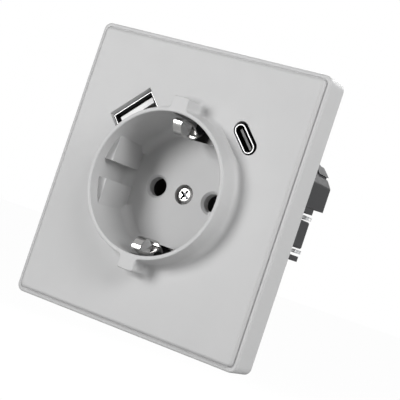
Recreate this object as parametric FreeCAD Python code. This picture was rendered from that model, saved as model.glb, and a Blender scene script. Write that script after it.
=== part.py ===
import FreeCAD, Part
import math
import os

# A flush wall socket with two USB charging ports, for a round 60 mm wall box.
# X runs to the right, Z up, and the room is towards -Y. Y = 0 is the plane of the wall.
os.makedirs("parts", exist_ok=True)
Vec = FreeCAD.Vector

# Cover plate and the frame round it
panel_width = 73.5
panel_height = 80.5
panel_proud = 1.0
panel_wall = 2.0
panel_edge_round = 0.9
panel_corner_round = 1.4
skirt_wall = 1.6
seam_gap = 0.35
frame_rim = 1.0
frame_depth = 9.0
frame_corner_round = 2.2
frame_edge_round = 0.5
ledge_thickness = 1.6
ledge_lap = 1.3

# Collar, well and what is moulded into it
collar_height = 6.9
collar_band = 1.15
collar_draft = 0.65
collar_foot_round = 1.8
rim_edge_round = 0.3
well_radius = 20.3
well_draft = 0.4
well_depth = 18.0
well_wall = 1.7
well_floor = 2.4
tab_width = 5.2
tab_reach = 3.55
tab_corner_round = 0.6
tab_root_round = 1.2
guide_thickness = 2.9
guide_drop = 3.7
guide_groove = 5.4
pin_spacing = 19.0
pin_hole_radius = 2.8
pin_lead_radius = 3.5
pin_lead_depth = 0.7
pin_bush_wall = 1.1
slot_reach = 4.5
slot_width = 9.2
slot_drop = 0.9
tab_pocket_width = 3.8
tab_skin = 2.5

# Cover screw in the middle of the well
screw_head_radius = 2.5
screw_head_height = 1.7
screw_head_sink = 0.35
screw_head_round = 0.9
screw_recess_radius = 2.95
screw_shank_radius = 1.5
screw_length = 12.0
screw_boss_radius = 4.2
screw_boss_height = 0.8
drive_width = 0.9
drive_length = 3.2
drive_depth = 1.1
drive_turn = 27.0

# Carrier ring of sheet steel and its rivets
ring_side_margin = 1.25
ring_top_margin = 4.75
ring_thickness = 1.2
ring_corner_cut = 10.0
ring_well_gap = 0.7
box_screw_circle = 60.0
box_screw_count = 4
box_screw_hole_radius = 2.1
rivet_head_radius = 1.4
rivet_head_height = 0.8
rivet_radius = 0.8
rivet_length = 4.0
rivet_angles = (-120.0, -60.0, 75.0, 105.0)

# Socket base behind the well
base_rim = 3.1
base_side_cut = 3.2
base_top = 8.8
base_depth = 23.9
base_wall = 3.0
base_edge_cut = 1.0
tongue_half_width = 9.6
tongue_thickness = 5.2
rim_cut_height = 9.8
guard_reach = 6.0
guard_thickness = 1.6
guard_inner = 6.4

# Earth strap and its two sprung clips
strap_width = 7.0
strap_thickness = 0.8
strap_inset = 1.6
strap_drop = 3.2
strap_hole_gap = 0.2
strap_lug_width = 3.6
strap_lug_height = 2.7
clip_width = 2.7
clip_thickness = 0.6
clip_foot_gap = 0.4
clip_lug_gap = 0.4
clip_drop = 2.2
clip_reach = 5.5
clip_leg_lead = 1.67
clip_leg_round = 1.0
# Corners of a clip's loop: distance behind its front, distance from its nose, bend radius
clip_loop = ((10.3, 2.35, 0.0), (6.8, 4.7, 9.0), (0.0, 4.65, 1.1), (0.0, 0.0, 3.45), (8.6, 0.1, 2.5))

# Live and neutral contacts, and the three screw terminals
jaw_width = 5.0
jaw_gap = 4.3
jaw_leaf = 0.6
jaw_length = 17.5
jaw_flare = 1.4
jaw_flare_length = 3.0
jaw_grip_length = 3.2
jaw_bow = 1.0
jaw_bow_length = 5.2
jaw_bend_round = 1.5
pocket_gap = 0.5
terminal_spacing = 12.5
terminal_half_width = 4.2
terminal_plate = 0.8
terminal_shelf = -15.8
terminal_floor_gap = 0.8
terminal_roof = -7.6
terminal_start = 6.2
terminal_run = 7.0
terminal_screw_radius = 1.4
terminal_head_radius = 2.2
terminal_head_height = 1.7
terminal_ledge = 1.8
clamp_thickness = 1.2
clamp_open = 4.0
screw_tip = 0.8
wire_hole_radius = 1.3
wire_hole_offset = 2.7
running_gap = 0.05

# Expanding claws at the two sides
claw_screw_offset = 3.0
claw_screw_radius = 1.7
claw_head_radius = 2.4
claw_head_height = 2.0
claw_head_round = 0.8
claw_screw_end = 27.5
claw_leg_inner = 4.6
claw_leg_thickness = 1.0
claw_leg_end = 28.6
claw_web_start = 1.5
claw_web_thickness = 1.0
claw_web_reach = 3.0
claw_web_hole_radius = 2.15
claw_tooth_reach = 3.8
claw_tooth = 1.3
claw_tooth_pitch = 2.1
claw_tooth_count = 3
nut_start = 17.8
nut_end = 26.3
nut_half_width = 4.1
nut_reach = 3.6
nut_shoulder = 0.45
nut_corner_round = 0.6
side_gap = 0.35

# Charger housing behind the upper part
housing_margin = 0.6
housing_side_cut = 4.9
housing_front_gap = 0.4
housing_back = 41.3
housing_wall = 1.3
housing_edge_round = 1.2
channel_gap = 0.3
lid_thickness = 1.5
lid_lip = 1.5
lid_fit = 0.1
arm_drop = 10.0
arm_height = 2.7
arm_length = 6.0
arm_proud = 0.4
arm_gap = 0.2
arm_notch = 0.8
board_thickness = 1.6
board_gap = 0.3
core_width = 15.0
core_depth = 13.0
core_height = 11.0
core_limb = 2.6
core_rise = 8.1
coil_margin = 0.5
coil_overhang = 1.0
capacitor_radius = 4.0
capacitor_length = 17.0
capacitor_inset_x = 14.0
capacitor_inset_z = 12.3
capacitor_edge_round = 0.5
chip_width = 6.0
chip_thickness = 1.4
chip_height = 2.4
chip_inset = 13.6
chip_rise = 2.9
housing_screw_radius = 1.1
housing_screw_head = 2.0
housing_screw_head_height = 1.3
housing_screw_length = 8.0
housing_screw_inset = 4.6
housing_screw_depth = 13.7

# The two ports, each turned to lie along the collar
usb_a_clear = 0.4
usb_a_side = 0.25
usb_a_turn = -45.0
usb_a_sink = 1.0
usb_a_width = 13.14
usb_a_height = 5.7
usb_a_wall = 0.3
usb_a_flare = 0.25
usb_a_flare_depth = 0.8
usb_a_corner = 0.45
usb_a_tongue_width = 11.4
usb_a_tongue_height = 1.75
usb_a_tongue_offset = 1.2
usb_a_tongue_sink = 1.4
usb_a_window_side = 0.67
usb_a_window_outer = 1.0
usb_a_window_inner = 0.4
usb_a_window_step = 0.2
usb_c_clear = 3.02
usb_c_side = -0.14
usb_c_turn = 45.0
usb_c_sink = 0.1
usb_c_width = 9.3
usb_c_height = 3.5
usb_c_wall = 0.45
usb_c_tongue_width = 6.7
usb_c_tongue_height = 0.7
usb_c_tongue_sink = 1.1
usb_c_window_gap = 0.55
usb_c_window_shift = 0.3
usb_c_relief_gap = 0.35
usb_c_relief_margin = 4.5
port_plug_length = 9.0
port_hole_gap = 0.15

# Sizes and places that follow from the ones above
panel_front = -frame_depth - panel_proud
panel_back = panel_front + panel_wall
skirt_back = -ring_thickness - ledge_thickness
collar_face = panel_front - collar_height
floor_face = collar_face + well_depth
floor_back = floor_face + well_floor
base_front = floor_back + screw_boss_height
base_back = base_front + base_depth
pocket_back = base_back - base_wall
well_outer = well_radius - well_draft + well_wall
collar_outer = well_radius + collar_band
collar_foot = collar_outer + collar_draft
tab_radius = collar_outer + tab_reach
guide_chord = well_radius - guide_thickness
slot_chord = well_radius - slot_reach
ring_opening = well_outer + ring_well_gap
ring_width = panel_width - 2 * ring_side_margin
ring_height = panel_height - 2 * ring_top_margin
base_radius = ring_opening + base_rim
base_half_width = base_radius - base_side_cut
strap_reach = well_outer - strap_inset
strap_front = base_front + strap_drop
strap_back = strap_front + strap_thickness
claw_screw_place = base_half_width + claw_screw_offset
claw_reach = claw_screw_place + claw_tooth_reach
usb_a_place = (usb_a_side, collar_foot + usb_a_clear + usb_a_height / 2)
usb_c_place = (usb_c_side, collar_foot + usb_c_clear + usb_c_height / 2)
usb_a_corner_reach = math.hypot(usb_a_side + usb_a_width / 2, usb_a_place[1] + usb_a_height / 2)
housing_radius = usb_a_corner_reach + housing_margin
housing_half_width = housing_radius - housing_side_cut
housing_front = floor_back + housing_front_gap
arm_bottom = housing_radius - arm_drop
housing_screw_x = base_half_width - housing_screw_inset
housing_screw_y = base_front + housing_screw_depth
screw_seat = floor_face + screw_head_sink + screw_head_height
board_front = base_front + tongue_thickness + channel_gap + housing_wall
board_back = board_front + board_thickness
usb_a_front = panel_front + usb_a_sink
usb_c_front = panel_front + usb_c_sink
far = 60.0


def block(x0, x1, y0, y1, z0, z1):
    return Part.makeBox(x1 - x0, y1 - y0, z1 - z0, Vec(x0, y0, z0))


def rod(radius, y0, y1, x=0.0, z=0.0):
    return Part.makeCylinder(radius, y1 - y0, Vec(x, y0, z), Vec(0, 1, 0))


def cone(radius0, radius1, y0, y1, x=0.0, z=0.0):
    return Part.makeCone(radius0, radius1, y1 - y0, Vec(x, y0, z), Vec(0, 1, 0))


def upright_rod(radius, x, y, z0, z1):
    return Part.makeCylinder(radius, z1 - z0, Vec(x, y, z0), Vec(0, 0, 1))


def turned(points):
    """A solid turned about the Y axis from an outline of (radius, y) points."""
    outline = [Vec(radius, y, 0) for radius, y in points]
    face = Part.Face(Part.makePolygon(outline + outline[:1]))
    return face.revolve(Vec(0, 0, 0), Vec(0, 1, 0), 360)


def edges_along_y(solid, length):
    found = []
    for edge in solid.Edges:
        size = edge.BoundBox
        if size.XLength < 1e-6 and size.ZLength < 1e-6 and abs(size.YLength - length) < 1e-6:
            found.append(edge)
    return found


def edges_at_y(solid, y, reach=None):
    """The edges in the plane y, or only those that stay within reach of the axis."""
    found = []
    for edge in solid.Edges:
        size = edge.BoundBox
        if abs(size.YMin - y) > 1e-4 or abs(size.YMax - y) > 1e-4:
            continue
        if reach is None or all(math.hypot(p.x, p.z) < reach for p in edge.discretize(5)):
            found.append(edge)
    return found


def rounded_plate(width, height, y0, y1, corner):
    plate = block(-width / 2, width / 2, y0, y1, -height / 2, height / 2)
    return plate.makeFillet(corner, edges_along_y(plate, y1 - y0))


def mirror_x(shape):
    return shape.mirror(Vec(0, 0, 0), Vec(1, 0, 0))


def mirror_z(shape):
    return shape.mirror(Vec(0, 0, 0), Vec(0, 0, 1))


def placed(shape, place, turn):
    """A port's solid, drawn at the origin, moved above the collar and swung round it."""
    moved = shape.copy()
    moved.translate(Vec(place[0], 0, place[1]))
    moved.rotate(Vec(0, 0, 0), Vec(0, 1, 0), turn)
    return moved


def bent_strip(corners, thickness, x0, x1):
    """A strip bent from sheet: its right-hand side follows the (y, z, bend radius) corners."""
    places = [Vec(x0, y, z) for y, z, bend in corners]
    ways = [(b - a).normalize() for a, b in zip(places, places[1:])]
    normals = [Vec(0, -way.z, way.y) for way in ways]
    sides = []
    for offset in (0.0, thickness):
        edges = []
        start = places[0] + normals[0] * offset
        for i in range(1, len(places) - 1):
            left = 1 if ways[i - 1].cross(ways[i]).x > 0 else -1
            bend = corners[i][2]
            reach = bend * math.tan(ways[i - 1].getAngle(ways[i]) / 2)
            first = places[i] - ways[i - 1] * reach
            centre = first + normals[i - 1] * left * bend
            middle = centre + (places[i] - centre).normalize() * (bend - left * offset)
            first = first + normals[i - 1] * offset
            last = places[i] + ways[i] * reach + normals[i] * offset
            edges.append(Part.makeLine(start, first))
            edges.append(Part.Arc(first, middle, last).toShape())
            start = last
        end = places[-1] + normals[-1] * offset
        edges.append(Part.makeLine(start, end))
        sides.append((edges, places[0] + normals[0] * offset, end))
    ends = [Part.makeLine(sides[0][1], sides[1][1]), Part.makeLine(sides[0][2], sides[1][2])]
    outline = Part.Wire(Part.__sortEdges__(sides[0][0] + sides[1][0] + ends))
    return Part.Face(outline).extrude(Vec(x1 - x0, 0, 0))


def stadium(width, height, y0, y1):
    """A bar with half-round ends, lying along X."""
    half = (width - height) / 2
    bar = block(-half, half, y0, y1, -height / 2, height / 2)
    ends = [rod(height / 2, y0, y1, side * half) for side in (-1, 1)]
    return bar.fuse(ends).removeSplitter()


def cross_drive(y0, x=0.0, turn=0.0):
    """The cutter of a cross-shaped screwdriver recess in a head at the height of the axis."""
    half, thin = drive_length / 2, drive_width / 2
    cross = block(-half, half, y0, y0 + drive_depth, -thin, thin)
    cross = cross.fuse(block(-thin, thin, y0, y0 + drive_depth, -half, half))
    cross.rotate(Vec(0, 0, 0), Vec(0, 1, 0), turn)
    cross.translate(Vec(x, 0, 0))
    return cross


def save(name, shape):
    shape.exportStep("parts/" + name + ".step")
    solids = len(shape.Solids)
    print(name, "solids", solids, "valid", shape.isValid(), "volume", round(shape.Volume, 1))


# Front cover: plate, collar and well in one moulding

def plate_shell():
    plate = rounded_plate(panel_width, panel_height, panel_front, skirt_back, panel_corner_round)
    plate = plate.makeFillet(panel_edge_round, edges_at_y(plate, panel_front))
    inner_width = panel_width - 2 * skirt_wall
    inner_height = panel_height - 2 * skirt_wall
    inner_corner = panel_corner_round / 2
    hollow = rounded_plate(inner_width, inner_height, panel_back, skirt_back, inner_corner)
    return plate.cut(hollow)


def collar_tab():
    """One of the two blocks at 12 and 6 o'clock, flush with the collar's rim."""
    half = tab_width / 2
    side = math.sqrt(tab_radius ** 2 - half ** 2)
    left = Vec(-half, collar_face, side)
    right = Vec(half, collar_face, side)
    edges = [
        Part.makeLine(Vec(-half, collar_face, 0), Vec(half, collar_face, 0)),
        Part.makeLine(Vec(half, collar_face, 0), right),
        Part.Arc(right, Vec(0, collar_face, tab_radius), left).toShape(),
        Part.makeLine(left, Vec(-half, collar_face, 0)),
    ]
    tab = Part.Face(Part.Wire(edges)).extrude(Vec(0, panel_front + panel_wall / 2 - collar_face, 0))
    corners = [edge for edge in edges_along_y(tab, tab.BoundBox.YLength)
               if edge.CenterOfMass.z > well_radius]
    return tab.makeFillet(tab_corner_round, corners)


def collar_block():
    """Collar and well as a solid plug, before the well is hollowed out."""
    return turned([
        (0, collar_face), (collar_outer, collar_face), (collar_foot, panel_front),
        (collar_foot, panel_front + panel_wall / 2), (well_outer, panel_front + panel_wall / 2),
        (well_outer, floor_back), (0, floor_back),
    ])


def round_collar(body):
    """Fillets where the tabs leave the collar and where both stand on the plate."""
    half = tab_width / 2
    roots = []
    for edge in body.Edges:
        size, middle = edge.BoundBox, edge.CenterOfMass
        beside_tab = abs(abs(middle.x) - half) < 0.05 and abs(middle.z) < collar_foot
        if beside_tab and size.ZLength < 1.0 and size.YLength > collar_height / 2:
            roots.append(edge)
    body = body.makeFillet(tab_root_round, roots)
    feet = edges_at_y(body, panel_front, tab_radius + tab_root_round)
    return body.makeFillet(collar_foot_round, feet)


def well_hollow():
    return cone(well_radius, well_radius - well_draft, collar_face, floor_face)


def guide_ribs():
    """The two segments at 9 and 3 o'clock that key a plug, each split by a groove."""
    half = guide_groove / 2
    face = collar_face + guide_drop
    rib = block(guide_chord, well_outer, face, floor_back, -well_radius, well_radius)
    rib = rib.common(rod(well_outer - well_wall / 2, face, floor_back))
    rib = rib.cut(block(0, far, face, floor_face, -half, half))
    return [rib, mirror_x(rib)]


def clip_slot():
    """Room for the upper earth clip: narrow in the tab, wide behind the plate."""
    half = tab_pocket_width / 2
    front = block(-half, half, collar_face + slot_drop, panel_back, slot_chord, tab_radius - tab_skin)
    half = slot_width / 2
    return front.fuse(block(-half, half, panel_back, floor_back, slot_chord, tab_radius))


def usb_a_window():
    """An opening with three sloping sides, wider on the side away from the collar."""
    half = usb_a_width / 2 + usb_a_window_side
    low = -usb_a_height / 2 - usb_a_window_inner
    high = usb_a_height / 2 + usb_a_window_outer
    near = usb_a_height / 2 + usb_a_window_step
    back = usb_a_width / 2 + usb_a_window_step
    y0, y1 = panel_front - collar_foot_round, panel_back

    def outline(y, side, bottom, top):
        corners = [Vec(-side, y, bottom), Vec(side, y, bottom), Vec(side, y, top), Vec(-side, y, top)]
        return Part.makePolygon(corners + corners[:1])

    mouth = Part.Face(outline(y0, half, low, high)).extrude(Vec(0, collar_foot_round, 0))
    funnel = Part.makeLoft([outline(panel_front, half, low, high), outline(y1, back, low, near)], True)
    return placed(mouth.fuse(funnel), usb_a_place, usb_a_turn)


def usb_c_window():
    width = usb_c_width + 2 * usb_c_window_gap
    height = usb_c_height + 2 * usb_c_window_gap
    opening = stadium(width, height, panel_front, panel_back)
    return placed(opening, (usb_c_side, usb_c_place[1] + usb_c_window_shift), usb_c_turn)


def usb_c_relief():
    """A flat cut into the collar's foot that leaves room for the plug of the type C port."""
    half = usb_c_width / 2 + usb_c_relief_margin
    start = collar_foot + usb_c_relief_gap - usb_c_place[1]
    relief = block(-half, half, panel_front - collar_foot_round, panel_front, start, 0)
    return placed(relief, usb_c_place, usb_c_turn)


def front_panel():
    body = plate_shell().fuse([collar_block(), collar_tab(), mirror_z(collar_tab())])
    body = round_collar(body.removeSplitter().Solids[0])
    body = body.cut(well_hollow()).fuse(guide_ribs())
    bushes = [rod(pin_hole_radius + pin_bush_wall, floor_back, base_front, side * pin_spacing / 2)
              for side in (-1, 1)]
    body = body.fuse(bushes + [rod(screw_boss_radius, floor_back, base_front)])
    cutters = [clip_slot(), mirror_z(clip_slot()), usb_a_window(), usb_c_window(), usb_c_relief()]
    for side in (-1, 1):
        x = side * pin_spacing / 2
        cutters.append(rod(pin_hole_radius, floor_face, base_front, x))
        cutters.append(cone(pin_lead_radius, pin_hole_radius, floor_face, floor_face + pin_lead_depth, x))
    cutters.append(rod(screw_recess_radius, floor_face, screw_seat))
    cutters.append(rod(screw_shank_radius + running_gap, floor_face, base_front))
    body = body.cut(cutters).removeSplitter().Solids[0]
    rim = edges_at_y(body, collar_face, tab_radius + 1)
    return body.makeFillet(rim_edge_round, rim)


# Frame between the wall and the cover

def surround_frame():
    inner_width = panel_width + 2 * seam_gap
    inner_height = panel_height + 2 * seam_gap
    frame = rounded_plate(inner_width + 2 * frame_rim, inner_height + 2 * frame_rim,
                          -frame_depth, 0, frame_corner_round)
    frame = frame.makeFillet(frame_edge_round, edges_at_y(frame, -frame_depth))
    well = rounded_plate(inner_width, inner_height, -frame_depth, skirt_back,
                         panel_corner_round + seam_gap)
    ledge = rounded_plate(ring_width - 2 * ledge_lap, ring_height - 2 * ledge_lap,
                          skirt_back, -ring_thickness, frame_corner_round)
    seat = rounded_plate(ring_width + seam_gap, ring_height + seam_gap, -ring_thickness, 0, frame_rim)
    return frame.cut([well, ledge, seat]).removeSplitter()


# Carrier ring

def port_notch(width, height, place, turn):
    """A notch in the ring that runs from its middle opening out past one port."""
    side = width / 2 + ring_well_gap
    top = height / 2 + ring_well_gap
    inward = place[1] - ring_opening / 2
    notch = block(-side, side, -ring_thickness, 0, -inward, top)
    return placed(notch, place, turn)


def support_ring():
    ring = block(-ring_width / 2, ring_width / 2, -ring_thickness, 0, -ring_height / 2, ring_height / 2)
    ring = ring.makeChamfer(ring_corner_cut, edges_along_y(ring, ring_thickness))
    cutters = [rod(ring_opening, -ring_thickness, 0)]
    cutters.append(port_notch(usb_a_width, usb_a_height, usb_a_place, usb_a_turn))
    cutters.append(port_notch(usb_c_width, usb_c_height, usb_c_place, usb_c_turn))
    for number in range(box_screw_count):
        angle = 2 * math.pi * number / box_screw_count
        x = box_screw_circle / 2 * math.cos(angle)
        z = box_screw_circle / 2 * math.sin(angle)
        cutters.append(rod(box_screw_hole_radius, -ring_thickness, 0, x, z))
    for side in (-1, 1):
        hole = rod(claw_screw_radius + 2 * running_gap, -ring_thickness, 0, side * claw_screw_place)
        cutters.append(hole)
    for x, z in rivet_places():
        cutters.append(rod(rivet_radius, -ring_thickness, 0, x, z))
    return ring.cut(cutters)


def rivet_places():
    middle = (ring_opening + base_radius) / 2
    angles = [math.radians(angle) for angle in rivet_angles]
    return [(middle * math.cos(angle), middle * math.sin(angle)) for angle in angles]


def ring_rivets():
    rivets = []
    for x, z in rivet_places():
        shank = rod(rivet_radius, -ring_thickness, rivet_length, x, z)
        head = rod(rivet_head_radius, -ring_thickness - rivet_head_height, -ring_thickness, x, z)
        head = head.makeFillet(rivet_head_height / 2, edges_at_y(head, head.BoundBox.YMin))
        rivets.append(shank.fuse(head).removeSplitter())
    return Part.makeCompound(rivets)


# Socket base

def terminal_places():
    return (("live", -terminal_spacing), ("earth", 0.0), ("neutral", terminal_spacing))


def terminal_axis():
    return base_front + terminal_start + terminal_run / 2


def terminal_bottom():
    return terminal_shelf - terminal_floor_gap


def clamp_bottom():
    return terminal_shelf + terminal_plate + clamp_open


def base_outline():
    core = rod(base_radius, base_front, base_back)
    core = core.makeChamfer(base_edge_cut, edges_at_y(core, base_back))
    core = core.common(block(-base_half_width, base_half_width, base_front, base_back, -far, base_top))
    tongue = rod(base_radius, base_front, base_front + tongue_thickness)
    tongue = tongue.common(block(-tongue_half_width, tongue_half_width, base_front,
                                 base_front + tongue_thickness, 0, far))
    rim = rod(base_radius, 0, base_front).cut(rod(ring_opening, 0, base_front))
    lower = rim.common(block(-base_half_width, base_half_width, 0, base_front, -far, -rim_cut_height))
    upper = rim.common(block(-tongue_half_width, tongue_half_width, 0, base_front, 0, far))
    guards = []
    for side in (-1, 1):
        for z in (guard_inner, -guard_inner - guard_thickness):
            guard = block(base_half_width - 1, base_half_width + guard_reach, 0, base_back,
                          z, z + guard_thickness)
            guard = guard.makeFillet(guard_thickness / 2, [
                edge for edge in guard.Edges
                if edge.BoundBox.ZLength > 1 and edge.BoundBox.XMax > base_half_width + 1])
            guards.append(guard if side > 0 else mirror_x(guard))
    return core.fuse([tongue, lower, upper] + guards).removeSplitter()


def base_pockets():
    """Pockets for the contacts, the terminals and the strap, open towards the room."""
    cutters = []
    leaf_room = jaw_gap / 2 + jaw_bow + jaw_leaf + jaw_flare + pocket_gap
    for side in (-1, 1):
        x = side * pin_spacing / 2
        half = jaw_width / 2 + pocket_gap
        cutters.append(block(x - half, x + half, base_front, pocket_back,
                             terminal_shelf - pocket_gap, leaf_room))
        bridge = terminal_half_width + pocket_gap
        middle = side * terminal_spacing
        cutters.append(block(middle - bridge, middle + bridge, base_front + terminal_start - pocket_gap,
                             pocket_back, terminal_bottom(), -leaf_room + pocket_gap))
    half = terminal_half_width + pocket_gap
    cutters.append(block(-half, half, base_front, pocket_back, terminal_bottom(), terminal_roof))
    cutters.append(block(-strap_width / 2, strap_width / 2, base_front, strap_back,
                         -strap_reach, strap_reach))
    return cutters


def base_holes():
    """Wire entries from behind, screwdriver ways from below, and the fixing bores."""
    cutters = []
    for name, x in terminal_places():
        for side in (-1, 1):
            z = terminal_shelf + terminal_plate + clamp_open / 2
            cutters.append(rod(wire_hole_radius, pocket_back, base_back, x + side * wire_hole_offset, z))
        y = terminal_axis()
        ledge = terminal_bottom() - terminal_ledge
        way = terminal_screw_radius + 2 * running_gap
        cutters.append(upright_rod(way, x, y, ledge, terminal_bottom()))
        cutters.append(upright_rod(terminal_head_radius + side_gap, x, y, -base_radius, ledge))
    cutters.append(rod(screw_shank_radius, base_front, screw_seat + screw_length))
    for x, z in rivet_places():
        cutters.append(rod(rivet_radius, 0, rivet_length, x, z))
    depth = housing_screw_length - housing_wall
    for side in (-1, 1):
        cutters.append(upright_rod(housing_screw_radius, side * housing_screw_x, housing_screw_y,
                                   base_top - depth, base_top))
    return cutters


def socket_base():
    return base_outline().cut(base_pockets() + base_holes()).removeSplitter()


# Cover screw

def cover_screw():
    top = screw_seat - screw_head_height
    head = rod(screw_head_radius, top, screw_seat)
    head = head.makeFillet(screw_head_round, edges_at_y(head, top))
    shank = rod(screw_shank_radius, screw_seat, screw_seat + screw_length)
    shank = shank.makeChamfer(screw_shank_radius / 2, edges_at_y(shank, screw_seat + screw_length))
    return head.fuse(shank).cut(cross_drive(top, turn=drive_turn)).removeSplitter()


# Earth strap and clips

def clip_root():
    """Where a clip is held: the place (y, z) of the line about which it springs."""
    return strap_front - clip_foot_gap, strap_reach - strap_thickness - clip_lug_gap - clip_thickness


def earth_strap():
    half = strap_width / 2
    strap = block(-half, half, strap_front, strap_back, -strap_reach, strap_reach)
    half = strap_lug_width / 2
    start = strap_front - strap_lug_height
    lug = block(-half, half, start, strap_front, strap_reach - strap_thickness, strap_reach)
    lug = lug.makeFillet(half / 2, [edge for edge in lug.Edges
                                    if edge.BoundBox.ZLength > strap_thickness / 2
                                    and edge.BoundBox.YMax < start + strap_thickness])
    shelf = block(-terminal_half_width + pocket_gap, terminal_half_width - pocket_gap,
                  strap_front + strap_thickness / 2, base_front + terminal_start + terminal_run,
                  terminal_shelf, terminal_shelf + terminal_plate)
    strap = strap.fuse([lug, mirror_z(lug), shelf])
    hole = rod(screw_shank_radius + strap_hole_gap, strap_front, strap_back)
    passage = upright_rod(terminal_screw_radius + 2 * running_gap, 0, terminal_axis(),
                          terminal_shelf, terminal_shelf + terminal_plate)
    return strap.cut([hole, passage]).removeSplitter()


def earth_clip():
    """The upper clip: a spring strip whose end is rolled into an open loop."""
    root_y, root_z = clip_root()
    front = collar_face + clip_drop
    nose = well_radius - clip_reach
    corners = [(front + behind, nose + above, bend) for behind, above, bend in clip_loop]
    corners.append((floor_face - clip_leg_lead, root_z, clip_leg_round))
    corners.append((root_y, root_z, 0.0))
    return bent_strip(corners, clip_thickness, -clip_width / 2, clip_width / 2)


# Live and neutral contacts

def pin_contact():
    """The neutral contact: two bowed jaws for a 4.8 mm pin, and the terminal's shelf."""
    x = pin_spacing / 2
    back = pocket_back - jaw_leaf
    front = back - jaw_length
    half = jaw_gap / 2
    grip = front + jaw_flare_length
    bow = grip + jaw_grip_length
    corners = [
        (front, half + jaw_flare, 0.0), (grip, half, jaw_bend_round), (bow, half, jaw_bend_round),
        (bow + jaw_bow_length, half + jaw_bow, jaw_bend_round), (back, half + jaw_bow, 0.0),
    ]
    leaf = bent_strip(corners, jaw_leaf, x - jaw_width / 2, x + jaw_width / 2)
    top = half + jaw_bow + jaw_leaf
    plate = block(x - jaw_width / 2, x + jaw_width / 2, back, back + jaw_leaf, terminal_shelf, top)
    shelf = block(terminal_spacing - terminal_half_width, terminal_spacing + terminal_half_width,
                  base_front + terminal_start, back + jaw_leaf,
                  terminal_shelf, terminal_shelf + terminal_plate)
    contact = plate.fuse([leaf, mirror_z(leaf), shelf])
    passage = upright_rod(terminal_screw_radius + 2 * running_gap, terminal_spacing, terminal_axis(),
                          terminal_shelf, terminal_shelf + terminal_plate)
    return contact.cut(passage).removeSplitter()


# Terminal screws and clamping plates

def terminal_screw(x):
    y = terminal_axis()
    seat = terminal_bottom() - terminal_ledge - running_gap
    tip = clamp_bottom() + clamp_thickness + screw_tip
    shank = upright_rod(terminal_screw_radius, x, y, seat, tip)
    head = upright_rod(terminal_head_radius, x, y, seat - terminal_head_height, seat)
    bottom = head.BoundBox.ZMin
    slot = block(x - far, x + far, y - drive_width / 2, y + drive_width / 2,
                 bottom, bottom + terminal_head_height / 2)
    return shank.fuse(head).cut(slot).removeSplitter()


def terminal_clamp(x):
    half = terminal_half_width - pocket_gap
    start = base_front + terminal_start + pocket_gap
    bottom, top = clamp_bottom(), clamp_bottom() + clamp_thickness
    plate = block(x - half, x + half, start, start + terminal_run - 2 * pocket_gap, bottom, top)
    corners = [edge for edge in plate.Edges if edge.BoundBox.ZLength > clamp_thickness / 2]
    plate = plate.makeFillet(clamp_thickness / 2, corners)
    hole = upright_rod(terminal_screw_radius + running_gap, x, terminal_axis(), bottom, top)
    return plate.cut(hole)


# Claws, drawn on the right and mirrored for the left

def claw():
    """A steel U on edge: a web by the ring and two toothed legs that lie along the base."""
    inner = claw_screw_place + nut_shoulder
    rear = claw_leg_end
    pitch = claw_tooth_pitch
    outer = claw_reach
    shoulder = claw_screw_place + claw_web_reach
    points = [(inner, claw_web_start), (shoulder, claw_web_start),
              (outer - claw_tooth, rear - pitch * claw_tooth_count)]
    for number in range(claw_tooth_count):
        y = rear - pitch * (claw_tooth_count - number)
        points.append((outer, y))
        points.append((outer - claw_tooth, y + pitch))
    points.append((inner, rear))
    legs = []
    for z in (claw_leg_inner, -claw_leg_inner - claw_leg_thickness):
        face = Part.Face(Part.makePolygon([Vec(x, y, z) for x, y in points + points[:1]]))
        legs.append(face.extrude(Vec(0, 0, claw_leg_thickness)))
    reach = claw_leg_inner + claw_leg_thickness
    web_end = claw_web_start + claw_web_thickness
    web = block(base_half_width + side_gap, shoulder, claw_web_start, web_end, -reach, reach)
    hole = rod(claw_web_hole_radius, claw_web_start, web_end, claw_screw_place)
    return web.cut(hole).fuse(legs).removeSplitter()


def claw_nut():
    """The moulded nut between the legs, with a shoulder that bears behind each leg."""
    start = base_half_width + side_gap
    middle = claw_screw_place
    body = block(start, middle + nut_reach, nut_start, nut_end, -nut_half_width, nut_half_width)
    corners = [edge for edge in body.Edges if edge.BoundBox.YLength > 1 and edge.CenterOfMass.x > middle]
    body = body.makeFillet(nut_corner_round, corners)
    reach = claw_leg_inner + claw_leg_thickness
    shoulder = block(start, middle + nut_shoulder - side_gap, nut_start, nut_end, -reach, reach)
    hole = rod(claw_screw_radius + running_gap, nut_start, nut_end, middle)
    return body.fuse(shoulder).cut(hole).removeSplitter()


def claw_screw():
    seat = -ring_thickness - running_gap
    x = claw_screw_place
    head = rod(claw_head_radius, seat - claw_head_height, seat, x)
    head = head.makeFillet(claw_head_round, edges_at_y(head, seat - claw_head_height))
    shank = rod(claw_screw_radius, seat, claw_screw_end, x)
    return head.fuse(shank).cut(cross_drive(seat - claw_head_height, x)).removeSplitter()


# Charger housing, its lid and what it holds

def segment(radius, half_width, bottom, y0, y1):
    """The upper part of a disc, with flat sides and a flat bottom."""
    disc = rod(radius, y0, y1)
    return disc.common(block(-half_width, half_width, y0, y1, bottom, far))


def lid_arm(outer, start, end, below, above):
    """The place of the lid's right snap arm on the housing, with room below and above it."""
    arm = rod(outer, start, end).cut(rod(housing_radius - housing_wall, start, end))
    return arm.common(block(0, far, start, end, arm_bottom - below, arm_bottom + arm_height + above))


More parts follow.
